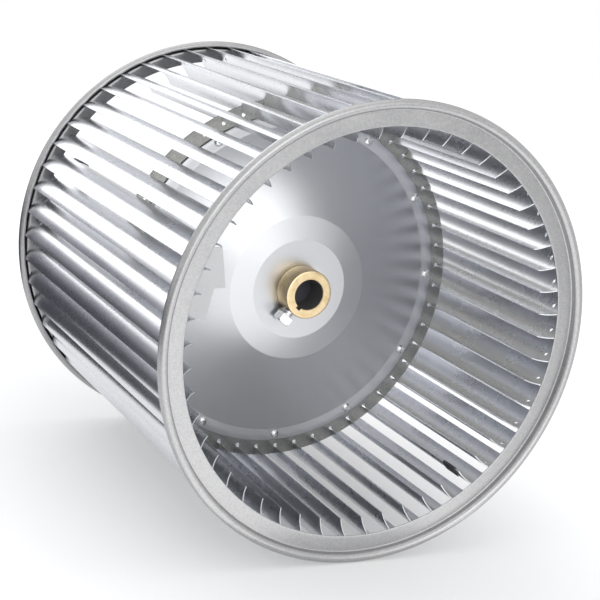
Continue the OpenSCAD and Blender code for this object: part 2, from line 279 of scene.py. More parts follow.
class NodeBench:
    """The node tree of a material or a world, with short ways to add and join nodes."""

    def __init__(self, name: str, world: bool = False) -> None:
        """Makes an empty material or world.

        Args:
            name: its name.
            world: whether it is a world.
        """
        self.owner = (bpy.data.worlds if world else bpy.data.materials).new(name)
        self.owner.use_nodes = True
        self.tree = self.owner.node_tree
        self.tree.nodes.clear()
        self.output = self.add(f"ShaderNodeOutput{'World' if world else 'Material'}")

    def add(
        self, kind: str, settings: dict | None = None, *feeds: object, **named: object
    ) -> bpy.types.Node:
        """Adds a node and feeds its inputs, each with a value or with another node's output.

        Args:
            kind: the node's type.
            settings: values for its attributes.
            *feeds: what its first inputs take, in order.
            **named: what further inputs take, by name, with spaces written as underscores.

        Returns:
            The node.
        """
        node = self.tree.nodes.new(kind)
        for key, value in (settings or {}).items():
            setattr(node, key, value)
        names = {key.replace("_", " "): value for key, value in named.items()}
        for key, value in [*enumerate(feeds), *names.items()]:
            if isinstance(value, Socket):
                self.tree.links.new(value, node.inputs[key])
            else:
                node.inputs[key].default_value = value
        return node

    def place(self, scale: Triple = (1, 1, 1), shift: Triple = (0, 0, 0)) -> Socket:
        """Object coordinates, stretched and then moved.

        Args:
            scale: factor along each axis.
            shift: metres along each axis.

        Returns:
            The vector's socket.
        """
        where = self.add("ShaderNodeTexCoord").outputs["Object"]
        mapping = self.add("ShaderNodeMapping", Vector=where, Scale=scale, Location=shift)
        return mapping.outputs["Vector"]

    def noise(self, where: Socket, scale: float, detail: float, roughness: float) -> Socket:
        """Soft noise.

        Args:
            where: the vector.
            scale: waves per metre.
            detail: octaves.
            roughness: strength of the finer octaves.

        Returns:
            The value's socket, about 0.3 to 0.7.
        """
        waves = {"Vector": where, "Scale": scale, "Detail": detail, "Roughness": roughness}
        return self.add("ShaderNodeTexNoise", **waves).outputs["Fac"]

    def spangle(self, where: Socket, scale: float) -> Socket:
        """One random value from 0 to 1 for each crystal of zinc, with scale crystals per metre."""
        cells = self.add("ShaderNodeTexVoronoi", Vector=where, Scale=scale)
        return self.add("ShaderNodeSeparateColor", None, cells.outputs["Color"]).outputs["Red"]

    def blend(self, a: Socket, b: Socket, share: float) -> Socket:
        """Mean of two values, with a weight for the second."""
        return self.add("ShaderNodeMix", Factor=share, A=a, B=b).outputs["Result"]

    def spread(self, value: Socket, source: Pair, target: Pair) -> Socket:
        """A value taken from one range to another."""
        ranges = dict(zip(("From_Min", "From_Max", "To_Min", "To_Max"), (*source, *target)))
        return self.add("ShaderNodeMapRange", Value=value, **ranges).outputs["Result"]

    def tones(self, value: Socket, dark: Triple, light: Triple, source: Pair) -> Socket:
        """A colour between two tones.

        Args:
            value: the value that chooses.
            dark: colour at the low end.
            light: colour at the high end.
            source: the value's range.

        Returns:
            The colour's socket.
        """
        ramp = self.add("ShaderNodeValToRGB", Fac=value)
        low, high = ramp.color_ramp.elements
        low.position, low.color = source[0], (*dark, 1)
        high.position, high.color = source[1], (*light, 1)
        return ramp.outputs["Color"]

    def relief(self, height: Socket, strength: float, depth: float) -> Socket:
        """A surface normal with fine relief.

        Args:
            height: the relief's height, 0 to 1.
            strength: 0 to 1.
            depth: millimetres at height 1.

        Returns:
            The normal's socket.
        """
        bump = self.add("ShaderNodeBump", Strength=strength, Distance=depth * MM, Height=height)
        return bump.outputs["Normal"]

    def surface(self, metallic: float, colour: Socket, roughness: Socket, normal: Socket) -> None:
        """Adds the surface's shader and joins it to the output.

        Args:
            metallic: 0 or up to 1.
            colour: its colour.
            roughness: its roughness.
            normal: the relief's normal.
        """
        inputs = {"Base_Color": colour, "Roughness": roughness, "Normal": normal}
        shader = self.add("ShaderNodeBsdfPrincipled", Metallic=metallic, **inputs)
        self.close(shader.outputs["BSDF"])

    def close(self, shader: Socket) -> None:
        """Joins a shader to the output."""
        self.tree.links.new(shader, self.output.inputs["Surface"])

    def mix(self, share: Socket, low: Socket, high: Socket) -> Socket:
        """The shader low where the share is 0, and high where it is 1."""
        return self.add("ShaderNodeMixShader", None, share, low, high).outputs[0]

    def one_sided(self, shader: Socket) -> Socket:
        """A shader that is clear from behind."""
        behind = self.add("ShaderNodeNewGeometry").outputs["Backfacing"]
        return self.mix(behind, shader, self.add("ShaderNodeBsdfTransparent").outputs[0])

    def straight(self) -> Socket:
        """1 for rays from the camera and those that gloss or glass sends on, else 0."""
        path = self.add("ShaderNodeLightPath").outputs
        seen = self.add("ShaderNodeMath", MAXIMUM, path["Is Camera Ray"], path["Is Glossy Ray"])
        both = self.add("ShaderNodeMath", MAXIMUM, seen.outputs[0], path["Is Transmission Ray"])
        return both.outputs[0]


@dataclass(frozen=True)
class ZincSheet:
    """Zinc-coated sheet: crystals of zinc, soft clouds, and fine lines from the rolling mill.

    Attributes:
        name: the material's name.
        dark: colour of the dark crystals.
        light: colour of the light crystals.
        crystal: size of a crystal in millimetres.
        clouds: weight of the soft clouds against the crystals.
        rolled: stretch of the rolling lines along each axis; small is long.
        lines: depth of the rolling lines in millimetres.
        sheen: lowest and highest roughness.
    """

    name: str
    dark: Triple
    light: Triple
    crystal: float
    clouds: float
    rolled: Triple
    lines: float
    sheen: Pair

    def make(self) -> Material:
        """Builds the material."""
        bench = NodeBench(self.name)
        plain = bench.place()
        crystals = bench.spangle(plain, 1 / (self.crystal * MM))
        clouds = bench.noise(plain, scale=28, detail=5, roughness=0.6)
        lines = bench.noise(bench.place(self.rolled), scale=900, detail=2, roughness=0.6)
        mottle = bench.blend(crystals, clouds, self.clouds)
        shade = bench.blend(mottle, lines, share=0.25)
        colour = bench.tones(shade, self.dark, self.light, source=(0.25, 0.75))
        roughness = bench.spread(bench.blend(mottle, clouds, share=0.5), NOISE, self.sheen)
        relief = bench.relief(lines, strength=0.6, depth=self.lines)
        bench.surface(1.0, colour, roughness, relief)
        return bench.owner


@dataclass(frozen=True)
class TurnedBrass:
    """Brass fresh from the lathe: fine rings round the shaft's axis and a slight tarnish.

    Attributes:
        name: the material's name.
        dark: colour of the tarnish.
        light: colour of the clean metal.
        feed: distance between the tool's marks in millimetres.
        depth: their depth in millimetres.
        sheen: lowest and highest roughness.
    """

    name: str
    dark: Triple
    light: Triple
    feed: float = 0.35
    depth: float = 0.012
    sheen: Pair = (0.24, 0.42)

    def make(self) -> Material:
        """Builds the material; a wave texture of scale 1 has 3.14 rings to a metre."""
        bench = NodeBench(self.name)
        plain = bench.place()
        marks = bench.add(
            "ShaderNodeTexWave", {"wave_type": "RINGS", "rings_direction": "Z"},
            Vector=plain, Scale=0.314 / (self.feed * MM), Distortion=0.4, Detail=1.0,
        )
        clouds = bench.noise(plain, scale=180, detail=4, roughness=0.6)
        specks = bench.noise(plain, scale=2500, detail=2, roughness=0.5)
        shade = bench.blend(clouds, specks, share=0.3)
        colour = bench.tones(shade, self.dark, self.light, source=(0.36, 0.6))
        roughness = bench.spread(clouds, NOISE, self.sheen)
        height = bench.blend(marks.outputs["Fac"], specks, share=0.4)
        relief = bench.relief(height, strength=0.5, depth=self.depth)
        bench.surface(1.0, colour, roughness, relief)
        return bench.owner


@dataclass(frozen=True)
class SmallPart:
    """Finish of a small part: a plain metal or paper with fine clouds.

    Attributes:
        name: the material's name.
        dark: colour in the clouds.
        light: colour between them.
        grain: size of the clouds in millimetres.
        depth: depth of the relief in millimetres.
        sheen: lowest and highest roughness.
        metallic: share of metal.
    """

    name: str
    dark: Triple
    light: Triple
    grain: float
    depth: float
    sheen: Pair
    metallic: float

    def make(self) -> Material:
        """Builds the material."""
        bench = NodeBench(self.name)
        waves = 1 / (self.grain * MM)
        clouds = bench.noise(bench.place(), scale=waves, detail=4, roughness=0.6)
        colour = bench.tones(clouds, self.dark, self.light, source=(0.35, 0.65))
        roughness = bench.spread(clouds, NOISE, self.sheen)
        relief = bench.relief(clouds, strength=0.5, depth=self.depth)
        bench.surface(self.metallic, colour, roughness, relief)
        return bench.owner


class Finish(Enum):
    """Every finish on the wheel."""

    RING = ZincSheet(
        "zinc_ring", (0.385, 0.385, 0.395), (0.485, 0.485, 0.485),
        0.7, 0.45, (1, 1, 1), 0.004, (0.32, 0.42),
    )
    # Painted shade: the centre ring's zinc is darker than the other sheets and stands in for the
    # shade that falls on it between the blades.
    CENTRE_RING = ZincSheet(
        "zinc_centre_ring_painted_shade", (0.27, 0.27, 0.26), (0.38, 0.38, 0.36),
        0.8, 0.5, (1, 1, 1), 0.004, (0.30, 0.38),
    )
    BLADE = ZincSheet(
        "zinc_blade", (0.685, 0.695, 0.725), (0.72, 0.73, 0.76),
        1.0, 0.92, (1, 1, 0.02), 0.0005, (0.26, 0.29),
    )
    DISC = ZincSheet(
        "zinc_disc", (0.55, 0.56, 0.58), (0.59, 0.60, 0.62),
        0.8, 0.92, (1, 1, 1), 0.0005, (0.34, 0.36),
    )
    BRASS = TurnedBrass("turned_brass", (0.62, 0.47, 0.25), (0.80, 0.65, 0.42))
    # Painted shade: a dark finish for the inside of the bore, its keyway and the cross hole.
    BORE = SmallPart(
        "bore_painted_shade", (0.11, 0.11, 0.11), (0.15, 0.145, 0.14), 1.5, 0.01, (0.4, 0.55), 0.0
    )
    SCREW = SmallPart(
        "bright_screw", (0.84, 0.85, 0.86), (0.88, 0.89, 0.90), 3.0, 0.0001, (0.20, 0.22), 1.0
    )
    RIVET = SmallPart(
        "bright_rivet", (0.66, 0.66, 0.67), (0.84, 0.84, 0.84), 0.9, 0.01, (0.22, 0.36), 1.0
    )
    CLIP = SmallPart(
        "black_spring", (0.06, 0.06, 0.07), (0.16, 0.16, 0.17), 0.8, 0.01, (0.32, 0.5), 0.9
    )
    PAPER = SmallPart(
        "paper_label", (0.92, 0.92, 0.92), (0.96, 0.96, 0.96), 2.0, 0.01, (0.45, 0.6), 0.0
    )

    @property
    def material(self) -> Material:
        """The material, built when it is first asked for."""
        return bpy.data.materials.get(self.value.name) or self.value.make()


# The wheel


@dataclass(frozen=True)
class WheelSizes:
    """The wheel's sizes in millimetres and degrees.

    They are named as the sizes of the model's own source, and the properties follow from them.
    """

    wheel_d: float = 270.0
    wheel_w: float = 263.5
    first_blade_at: float = 5.0
    front_ring_w: float = 15.4
    rear_ring_w: float = 13.6
    ring_t: float = 0.8
    curl_d: float = 5.6
    ring_bend_r: float = 0.7
    curl_slack: float = 0.8
    blades: int = 51
    blade_t: float = 0.7
    blade_span: float = 23.0
    blade_lag: float = 6.3
    blade_rise: float = 5.0
    slot_gap: float = 0.15
    centre_t: float = 1.2
    disc_t: float = 1.2
    disc_inset: float = 5.8
    lap_w: float = 7.2
    cone_h: float = 17.4
    shoulder_d: float = 91.8
    shoulder_h: float = 2.3
    boss_d: float = 62.8
    key_at: float = 233.0

    @property
    def outer_r(self) -> float:
        """Radius over the rolled edges."""
        return self.wheel_d / 2

    @property
    def inlets(self) -> Pair:
        """Radii of the two inlet openings, rear and front."""
        return self.outer_r - self.rear_ring_w, self.outer_r - self.front_ring_w

    @property
    def slit_in_r(self) -> float:
        """Inner radius of the slit that takes the blades' tabs."""
        return self.outer_r - self.curl_d + self.ring_t

    @property
    def slit_out_r(self) -> float:
        """Outer radius of that slit."""
        return self.slit_in_r + self.blade_t + self.curl_slack

    @property
    def ends(self) -> Pair:
        """Heights of the two end rings' flat backs, rear and front."""
        return self.curl_d, self.wheel_w - self.curl_d

    @property
    def strip_l(self) -> float:
        """Length of a blade between the flat backs."""
        return self.ends[1] - self.ends[0]

    @property
    def blade_in_r(self) -> float:
        """Radius of the circle through the blades' inner edges."""
        return self.outer_r - self.blade_span

    @property
    def lap_z(self) -> float:
        """Height of the front of the disc's flat lap."""
        return self.wheel_w / 2 + self.centre_t / 2 + self.disc_t

    @property
    def boss_z(self) -> float:
        """Height of the boss's front."""
        return self.lap_z + self.cone_h + self.shoulder_h

    @property
    def disc_r(self) -> float:
        """Radius of the hub disc's edge."""
        return self.blade_in_r - self.disc_inset


@dataclass(frozen=True)
class BladeArc:
    """The arc of every blade's section, in a frame with X along the chord and Y to the hollow side.

    A point at angle a on the arc is (R sin a, m - R cos a), with R the arc's radius and m the
    height of its middle over the chord.

    Attributes:
        sizes: the wheel's sizes.
    """

    sizes: WheelSizes

    @property
    def ends(self) -> tuple[np.ndarray, np.ndarray]:
        """The chord's outer and inner end, with the outer one at angle 0."""
        s = self.sizes
        lag = math.radians(s.blade_lag)
        outer = np.array([s.slit_out_r - s.slot_gap - s.blade_t / 2, 0.0])
        return outer, s.blade_in_r * np.array([math.cos(lag), -math.sin(lag)])

    @property
    def chord(self) -> float:
        """The chord's length."""
        outer, inner = self.ends
        return float(np.linalg.norm(outer - inner))

    @property
    def lie(self) -> tuple[np.ndarray, float]:
        """The chord's middle and its tilt in radians."""
        outer, inner = self.ends
        return (outer + inner) / 2, math.atan2(*(outer - inner)[::-1])

    @property
    def radius(self) -> float:
        """Radius of the arc through both ends and the rise."""
        rise = self.sizes.blade_rise
        return (self.chord**2 / 4 + rise**2) / (2 * rise)

    @property
    def half(self) -> float:
        """Half the arc's angle, in radians."""
        return math.asin(self.chord / 2 / self.radius)

    @property
    def middle(self) -> float:
        """Height of the arc's middle over the chord."""
        return self.radius - self.sizes.blade_rise

    def angle_on(self, radius: float, from_axis: float) -> float:
        """Angle of a point of a circle about the arc's middle, from its distance to the shaft.

        Args:
            radius: radius of the circle.
            from_axis: distance of the point from the shaft's axis.

        Returns:
            The angle in radians.
        """
        mid, tilt = self.lie
        x = -(mid[0] * math.cos(tilt) + mid[1] * math.sin(tilt))
        y = mid[0] * math.sin(tilt) - mid[1] * math.cos(tilt) - self.middle
        length = math.hypot(x, y)
        reach = (radius**2 + length**2 - from_axis**2) / (2 * radius * length)
        return math.atan2(x, -y) + math.acos(reach)

    def point(
        self, angle: np.ndarray, height: np.ndarray, off: np.ndarray, index: int
    ) -> np.ndarray:
        """Points of a blade's section, put at the blade's place in the wheel.

        Args:
            angle: angles on the arc in radians.
            height: heights along the shaft.
            off: distances outwards from the arc, away from its middle.
            index: the blade's number from 0.

        Returns:
            The points, with one more axis than angle.
        """
        s = self.sizes
        mid, tilt = self.lie
        reach = self.radius + off
        x, y = reach * np.sin(angle), self.middle - reach * np.cos(angle)
        across = mid[0] + x * math.cos(tilt) - y * math.sin(tilt)
        aside = mid[1] + x * math.sin(tilt) + y * math.cos(tilt)
        points = np.stack([across, aside, height + 0 * x], axis=-1)
        return turned(points, s.first_blade_at + index * 360 / s.blades)


class End(Enum):
    """The wheel's two ends."""

    REAR = "rear"
    FRONT = "front"


@dataclass
class EndRing:
    """An end ring: a flat face that bends up to a rolled edge, made of one sheet.

    Attributes:
        sizes: the wheel's sizes.
        end: which end of the wheel it closes.
        segments: steps round the axis.
    """

    sizes: WheelSizes
    end: End
    segments: int = 408

    def middle_line(self) -> np.ndarray:
        """The sheet's middle line: flat face, quarter bend, wall, and the roll up to its slit.

        Returns:
            Pairs of radius and height over the flat back.
        """
        s = self.sizes
        half = s.ring_t / 2
        inlet_r = s.inlets[self.end is End.FRONT]
        bend_r = s.outer_r - s.curl_d - s.ring_bend_r
        roll_mid, roll_r = s.outer_r - s.curl_d / 2, s.curl_d / 2
        past = math.degrees(math.asin((roll_mid - s.slit_out_r) / roll_r))
        flat = np.linspace([inlet_r + half, half], [bend_r, half], 8)
        bend = arc((bend_r, s.ring_t + s.ring_bend_r), s.ring_bend_r + half, -90, 0, steps=7)
        roll = arc((roll_mid, roll_r), roll_r - half, 180, -90 - past, steps=41)
        return without_repeats(np.vstack([flat, bend, roll]))

    def build(self) -> Object:
        """Revolves the section and dresses it.

        Returns:
            The ring's object.
        """
        outline = sheet_profile(self.middle_line(), self.sizes.ring_t, end_steps=5)
        rear, front = self.sizes.ends
        if self.end is End.FRONT:
            outline = outline + [0, front]
        else:
            outline = outline * [1, -1] + [0, rear]
        node = f"{self.end.value}_ring"
        body = revolve(outline, self.segments)
        piece = make_piece(f"{node}_sheet", body, Finish.RING, sharp=60)
        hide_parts(node)
        return piece


@dataclass
class Blade:
    """One blade: a strip bent to an arc, with cut corners, end tabs and two pierced slots.

    Attributes:
        shape: the arc of its section.
        index: the blade's number from 0.
        corner_l: length of the corner cut along the inner edge.
        corner_under: distance that the cut runs on under the front ring.
        tab_h: height of the end tab.
        tab_gap: play of the tab against the rolled edge's wall.
        pierce_l: length of a pierced slot.
        pierce_w: width of a pierced slot.
        pierce_in: distance of the slot from the end ring.
        pierce_inset: distance of the slot from the wheel's outside.
        pierce_lean: its lean in degrees against the strip's length.
        waves: height of the strip's slight waves.
        edge: width of its rounded edges.
        corner_rows: rows of the grid up to the end of the corner cut.
        plain_from: height over the end ring from which the rows are spread evenly.
        patch: cells on each side of the slot's middle that the slot takes out.
        tab_points: columns of the grid in the tab.
    """

    shape: BladeArc
    index: int
    corner_l: float = 6.6
    corner_under: float = 0.4
    tab_h: float = 2.4
    tab_gap: float = 0.05
    pierce_l: float = 3.3
    pierce_w: float = 1.7
    pierce_in: float = 9.6
    pierce_inset: float = 10.7
    pierce_lean: float = 60.0
    waves: float = 0.05
    edge: float = 0.1
    corner_rows: int = 4
    plain_from: float = 14.0
    patch: int = 2
    tab_points: int = 4

    def rows(self) -> np.ndarray:
        """Heights over the end ring of the grid's rows in the strip's rear half."""
        near = self.corner_l * np.arange(self.corner_rows) / (self.corner_rows - 1)
        hole = self.pierce_in + np.arange(-self.patch, self.patch + 1)
        plain = np.linspace(self.plain_from, self.shape.sizes.strip_l / 2, 10)
        return np.concatenate([near, hole, plain])

    def corner_angle(self) -> float:
        """Angle on the arc, in radians, at which the corner cut ends under the end ring."""
        s = self.shape.sizes
        return self.shape.angle_on(self.shape.radius, s.inlets[1] + self.corner_under)

    def columns(self) -> np.ndarray:
        """Shares of the strip's width, from the inner edge, with one at the tab's edge."""
        s, shape = self.shape.sizes, self.shape
        corner = self.corner_angle()
        hollow = shape.radius - s.blade_t / 2
        tab = shape.angle_on(hollow, s.slit_in_r + self.tab_gap)
        tab = math.asin(hollow * math.sin(tab) / shape.radius)
        at_tab = (tab - corner) / (shape.half - corner)
        rest = np.linspace(at_tab, 1, self.tab_points)[1:]
        return np.concatenate([np.linspace(0, at_tab, 15), rest])

    def flat_grid(self) -> tuple[np.ndarray, np.ndarray]:
        """The grid of the rear half: angle on the arc and height over the end ring.

        The row at height h starts at the cut corner: its first angle goes with h from the inlet's
        edge to the inner edge, in a straight line of the strip's chord.

        Returns:
            Angles and heights, rows by columns.
        """
        shape, rows, columns = self.shape, self.rows(), self.columns()
        corner_x = shape.radius * math.sin(self.corner_angle())
        share = np.clip(rows / self.corner_l, 0, 1)
        first_x = corner_x * (1 - share) - shape.chord / 2 * share
        first = np.arcsin(np.clip(first_x / shape.radius, -1, 1))[:, None]
        return first + (shape.half - first) * columns[None], rows[:, None] + 0 * columns[None]

    def slot_outline(self, direction: np.ndarray) -> np.ndarray:
        """Distance from the slot's middle to its edge along a direction.

        A slot is a straight run of half length h with round ends of radius w: the side is at
        w / |sin b|, and the round end at h |cos b| + sqrt(w^2 - h^2 sin^2 b), with b the angle to
        the slot's length.

        Args:
            direction: angles in radians to the slot's length.

        Returns:
            The distances.
        """
        run, end = (self.pierce_l - self.pierce_w) / 2, self.pierce_w / 2
        sine, cosine = np.abs(np.sin(direction)), np.abs(np.cos(direction))
        side = end / np.maximum(sine, 1e-9)
        round_end = run * cosine + np.sqrt(np.maximum(end**2 - (run * sine) ** 2, 0))
        return np.where(side * cosine <= run, side, round_end)

    def half_strip(self) -> Surface:
        """The rear half of the strip as a flat surface of angle, height and zero.

        The cells round the pierced slot are left out, and two rings of quads run from their
        border to the slot's edge.

        Returns:
            The surface; its points are angle, height, 0.
        """
        s, shape = self.shape.sizes, self.shape
        angle, height = self.flat_grid()
        rows, columns = angle.shape
        number = np.arange(rows * columns).reshape(rows, columns)
        middle = shape.angle_on(shape.radius, s.outer_r - self.pierce_inset)
        centre_row = self.corner_rows + self.patch
        centre_column = int(np.argmin(np.abs(angle[centre_row] - middle)))
        low, high = centre_row - self.patch, centre_row + self.patch
        left, right = centre_column - self.patch, centre_column + self.patch
        keep = np.ones((rows - 1, columns - 1), bool)
        keep[low:high, left:right] = False
        sides = [
            number[low, left:right], number[low:high, right],
            number[high, right:left:-1], number[high:low:-1, left],
        ]
        flat = np.stack([angle.ravel(), height.ravel()], axis=-1)
        border = flat[np.concatenate(sides)]
        away = (border - [middle, self.pierce_in]) * [shape.radius, 1]
        toward = np.arctan2(away[:, 1], away[:, 0])
        edge = self.slot_outline(toward - math.radians(90 - self.pierce_lean))
        rim = np.stack([edge * np.cos(toward) / shape.radius, edge * np.sin(toward)], axis=-1)
        rim += [middle, self.pierce_in]
        loops = [np.pad(p, ((0, 0), (0, 1))) for p in (border, (border + rim) / 2, rim)]
        tab_angle = angle[0, -self.tab_points:]
        tab_height = np.array([0.0, -self.tab_h * 0.6, -self.tab_h])[:, None]
        tab = np.stack(np.broadcast_arrays(tab_angle, tab_height, 0.0), axis=-1)
        strip = Surface(np.pad(flat, ((0, 0), (0, 1))), [quads_between(number)[keep]])
        return together([strip, grid(np.stack(loops), wrap_columns=True), grid(tab)])

    def thickened(self, flat: Surface) -> Surface:
        """Gives the flat strip its thickness and closes its rim.

        A rim edge is one that belongs to a single quad, in the order in which that quad runs.

        Args:
            flat: points of angle, height, 0 for the whole strip.

        Returns:
            The closed surface in the wheel's frame.
        """
        s, shape = self.shape.sizes, self.shape
        to_weld = np.round(flat.points[:, :2] * [shape.radius, 1], 4)
        unique, which = np.unique(to_weld, axis=0, return_inverse=True)
        which, count = which.ravel(), len(unique)
        points = np.zeros((count, 2))
        points[which] = flat.points[:, :2]
        quads = which[np.vstack(flat.faces)]
        edges = np.concatenate([quads[:, [i, (i + 1) % 4]] for i in range(4)])
        key = np.sort(edges, axis=1) @ [count, 1]
        _, place, uses = np.unique(key, return_index=True, return_counts=True)
        start, end = edges[place[uses == 1]].T
        along = points[:, 1] / s.strip_l
        wave = self.waves * np.sin(np.pi * along) * np.sin(7 * along + 2.3 * self.index)
        wave = wave * np.cos(points[:, 0] / shape.half * np.pi / 2)
        sides = [
            shape.point(points[:, 0], points[:, 1] + s.ends[0], wave + off, self.index)
            for off in (s.blade_t / 2, -s.blade_t / 2)
        ]
        closing = np.stack([end, start, start + count, end + count], axis=-1)
        return Surface(np.vstack(sides), [quads, quads[:, ::-1] + count, closing])

    def build(self) -> Object:
        """Builds both halves of the strip, rounds its edges and dresses it.

        Returns:
            The blade's object.
        """
        rear = self.half_strip()
        front_points = rear.points * [1, -1, 1] + [0, self.shape.sizes.strip_l, 0]
        front = Surface(front_points, [f[:, ::-1] for f in rear.faces])
        strip = self.thickened(together([rear, front]))
        node = f"blade_{self.index + 1:02d}"
        piece = make_piece(f"{node}_strip", strip, Finish.BLADE)
        bevel = piece.modifiers.new("soft_edges", "BEVEL")
        bevel.width, bevel.segments = self.edge * MM, 1
        bevel.limit_method, bevel.angle_limit = "ANGLE", math.radians(40)
        bevel.harden_normals = True
        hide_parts(node)
        return piece


@dataclass
class HubDisc:
    """The pressed disc: flat boss, shallow shoulder, cone and flat lap.

    Attributes:
        sizes: the wheel's sizes.
        hole_r: radius of the hole round the hub's neck.
        bends: radii of its bends, from the boss outwards.
        longest: length of the longest face across the disc.
        segments: steps round the axis.
    """

    sizes: WheelSizes
    hole_r: float = 13.1
    bends: Triple = (3.6, 6.0, 2.4)
    longest: float = 6.0
    segments: int = 360

    def front_line(self) -> np.ndarray:
        """Pairs of radius and height along the disc's front, with rounded bends."""
        s = self.sizes
        boss = [[self.hole_r, s.boss_z], [s.boss_d / 2, s.boss_z]]
        cone = [[s.shoulder_d / 2, s.lap_z + s.cone_h], [s.disc_r - s.lap_w, s.lap_z]]
        return rounded(np.array([*boss, *cone, [s.disc_r, s.lap_z]]), self.bends, steps=12)

    def build(self) -> Object:
        """Revolves the sheet and dresses it.

        Returns:
            The disc's object.
        """
        s = self.sizes
        front = self.front_line()
        middle = front - directions(front)[1] * s.disc_t / 2
        dense = []
        for a, b in zip(middle[:-1], middle[1:]):
            steps = max(2, int(np.linalg.norm(b - a) / self.longest))
            dense.append(np.linspace(a, b, steps, endpoint=False))
        outline = sheet_profile(np.vstack([*dense, middle[-1:]]), s.disc_t, end_steps=3)
        body = revolve(outline, self.segments)
        piece = make_piece("hub_disc_sheet", body, Finish.DISC, sharp=50)
        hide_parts("hub_disc")
        return piece


@dataclass
class Hub:
    """The turned brass hub with its keyed bore, cross hole, neck and staked rim.

    Attributes:
        sizes: the wheel's sizes.
        hub_d: outside diameter.
        hub_l: length in front of the boss.
        bore_d: shaft bore.
        key_w: width of the keyway.
        key_depth: its depth.
        neck_d: diameter of the neck through the disc.
        rim_h: height of the staked rim.
        rim_w: its width beyond the neck.
        edge: chamfer of the front face's outer edge.
        foot_edge: chamfer of the edge on the disc.
        bore_edge: chamfer of the bore's mouth.
        hole_d: diameter of the cross hole.
        sharp: angle in degrees from which its edges are sharp.
        margin: how far past the keyway's floor a face still belongs to the bore.
    """

    sizes: WheelSizes
    hub_d: float = 30.5
    hub_l: float = 14.0
    bore_d: float = 19.05
    key_w: float = 3.2
    key_depth: float = 1.6
    neck_d: float = 26.0
    rim_h: float = 2.0
    rim_w: float = 1.2
    edge: float = 0.6
    foot_edge: float = 0.3
    bore_edge: float = 0.35
    hole_d: float = 8.1
    sharp: float = 30.0
    margin: float = 0.2

    @property
    def foot(self) -> float:
        """Height of the hub's rear end."""
        return self.sizes.boss_z - self.sizes.disc_t - self.rim_h

    @property
    def key_r(self) -> float:
        """Distance of the keyway's floor from the shaft's axis."""
        return self.bore_d / 2 + self.key_depth

    def bore_line(self) -> tuple[np.ndarray, np.ndarray]:
        """Angles round the bore and the bore's radius at each.

        The radius is the bore's own, and in the keyway (key floor) / cos a, with a column on
        each of the keyway's four corners.

        Returns:
            Angles in radians from the keyway, and radii.
        """
        bore_r = self.bore_d / 2
        mouth = math.asin(self.key_w / 2 / bore_r)
        corner = math.atan2(self.key_w / 2, self.key_r)
        bottom = np.linspace(-corner, corner, 7)
        round_part = np.linspace(mouth, 2 * np.pi - mouth, 121)
        radii = np.concatenate([self.key_r / np.cos(bottom), np.full(len(round_part), bore_r)])
        return np.concatenate([bottom, round_part]), radii

    def outside(self, top: float) -> np.ndarray:
        """Pairs of radius and height from the rear end, over the staked rim, to the front face."""
        s, hub_r, neck_r = self.sizes, self.hub_d / 2, self.neck_d / 2
        back = s.boss_z - s.disc_t
        rim = [[neck_r, self.foot], [neck_r + self.rim_w, back], [neck_r, back]]
        foot = [[hub_r - self.foot_edge, s.boss_z], [hub_r, s.boss_z + self.foot_edge]]
        knee = [hub_r - self.edge * 0.35, top - self.edge * 0.3]
        face = [[hub_r, top - self.edge], knee, [hub_r - self.edge, top]]
        return np.array([*rim, [neck_r, s.boss_z], *foot, *face])

    def build(self) -> Object:
        """Builds the hub: a ring of sections whose inner side follows the bore, cross-drilled.

        Returns:
            The hub's object.
        """
        s = self.sizes
        angle, bore = self.bore_line()
        top = s.boss_z + self.hub_l
        outside = self.outside(top)
        outside = np.broadcast_to(outside, (len(angle), *outside.shape))
        share = np.linspace(0, 1, 5)[1:]
        mouth = bore[:, None] + self.bore_edge
        face_r = (self.hub_d / 2 - self.edge) * (1 - share) + mouth * share
        face = np.stack([face_r, np.full_like(face_r, top)], axis=-1)
        ends = [top - self.bore_edge, top - self.hub_l / 2, self.foot + self.bore_edge]
        wall = np.stack(np.broadcast_arrays(bore[:, None], np.array(ends)), axis=-1)
        last = np.stack([mouth, np.full_like(mouth, self.foot)], axis=-1)
        section = np.concatenate([outside, face, wall, last], axis=1)
        turn = angle[:, None] + math.radians(s.key_at)
        points = about_shaft(section[..., 0], turn, section[..., 1])
        body = grid(points, wrap_rows=True, wrap_columns=True)
        piece = make_piece("hub_turned", body, Finish.BRASS, self.sharp)
        self.drill(piece)
        # Painted shade inside the bore, keyway and cross hole.
        self.paint_bore_shade(piece)
        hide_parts("hub")
        return piece

    def across(self, along: np.ndarray, radius: np.ndarray, turn: np.ndarray) -> np.ndarray:
        """Points about the cross hole's axis.

        Args:
            along: distances from the shaft's axis.
            radius: radii about the hole's axis.
            turn: angles about it, in radians.

        Returns:
            The points in the wheel's frame.
        """
        z = self.sizes.boss_z + self.hub_l / 2 + radius * np.sin(turn)
        points = np.stack(np.broadcast_arrays(along, radius * np.cos(turn), z), axis=-1)
        return turned(points, self.sizes.key_at)

    def drill(self, piece: Object) -> None:
        """Cuts the cross hole along the keyway's direction, and leaves the result in the mesh.

        Args:
            piece: the hub's object.
        """
        turn = np.linspace(0, 2 * np.pi, 48, endpoint=False)[None]
        reach = np.array([self.bore_d / 4, self.hub_d])[:, None]
        tube = self.across(reach, np.array(self.hole_d / 2), turn)
        cutter = make_piece("cutter", capped(tube), Finish.BRASS)
        cut = piece.modifiers.new("cross_hole", "BOOLEAN")
        cut.object, cut.solver = cutter, "EXACT"
        graph = bpy.context.evaluated_depsgraph_get()
        result = bpy.data.meshes.new_from_object(piece.evaluated_get(graph))
        piece.modifiers.clear()
        piece.data = result
        result.set_sharp_from_angle(angle=math.radians(self.sharp))
        bpy.data.objects.remove(cutter)

